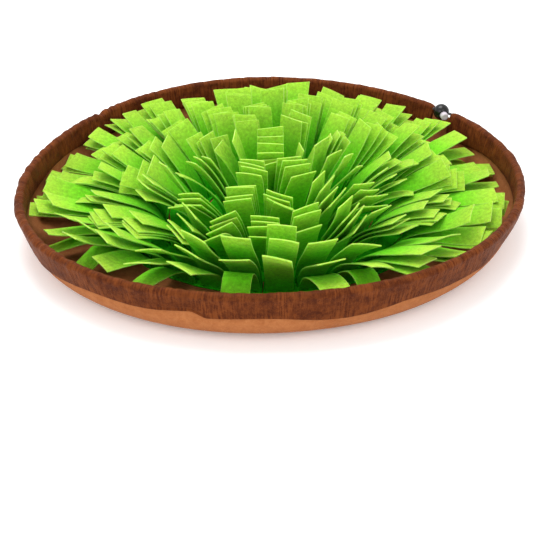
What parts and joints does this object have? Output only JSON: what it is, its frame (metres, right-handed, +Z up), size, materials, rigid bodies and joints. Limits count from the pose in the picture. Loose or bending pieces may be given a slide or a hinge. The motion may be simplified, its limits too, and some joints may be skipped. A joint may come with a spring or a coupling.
{
  "type": "snuffle mat",
  "caption": "Round snuffle mat: a shallow cloth dish with a gathered drawstring rim and a cord lock, filled with stacks of upright felt strips that hide treats.",
  "frame": {"origin": "middle of the flat underside, on the surface the mat lies on", "axes": "+Z up, -Y towards the front of the mat as it is looked at, +X to the right; the cord lock is at the back right"},
  "size_m": [0.5027, 0.4989, 0.09],
  "materials": {
    "dish_cloth": "brushed, suede-like",
    "casing_cloth": "plain, with a slight sheen, gathered",
    "lock_plastic": "glossy moulded",
    "plunger_plastic": "satin moulded",
    "drawstring": "round braided cord",
    "felt": "matt felt with cut edges"
  },
  "bodies": {
    "mat": {"casing": "casing_cloth", "cord_lock": "lock_plastic", "core_1": "felt", "dish": "dish_cloth", "dish_floor": "dish_cloth", "drawstring_left": "drawstring", "drawstring_right": "drawstring", "heart_1": "felt", "heart_2": "felt", "row_1_1": "felt", "row_1_2": "felt", "row_2_1": "felt", "row_2_2": "felt", "row_2_3": "felt", "row_2_4": "felt", "row_3_1": "felt", "row_3_2": "felt", "row_3_3": "felt", "row_3_4": "felt", "row_3_5": "felt", "row_3_6": "felt", "row_4_1": "felt", "row_4_2": "felt", "row_4_3": "felt", "row_4_4": "felt", "row_4_5": "felt", "row_4_6": "felt", "row_4_7": "felt", "row_4_8": "felt"},
    "plunger": {"plunger": "plunger_plastic"}
  },
  "joints": [
    {"name": "plunger_press", "type": "slide", "parent": "mat", "child": "plunger", "axis": [-0.2396, 0.9608, 0.1392], "range_m": [0, 0.004], "stiffness_N_per_m": 500, "springref_m": -0.004}
  ]
}
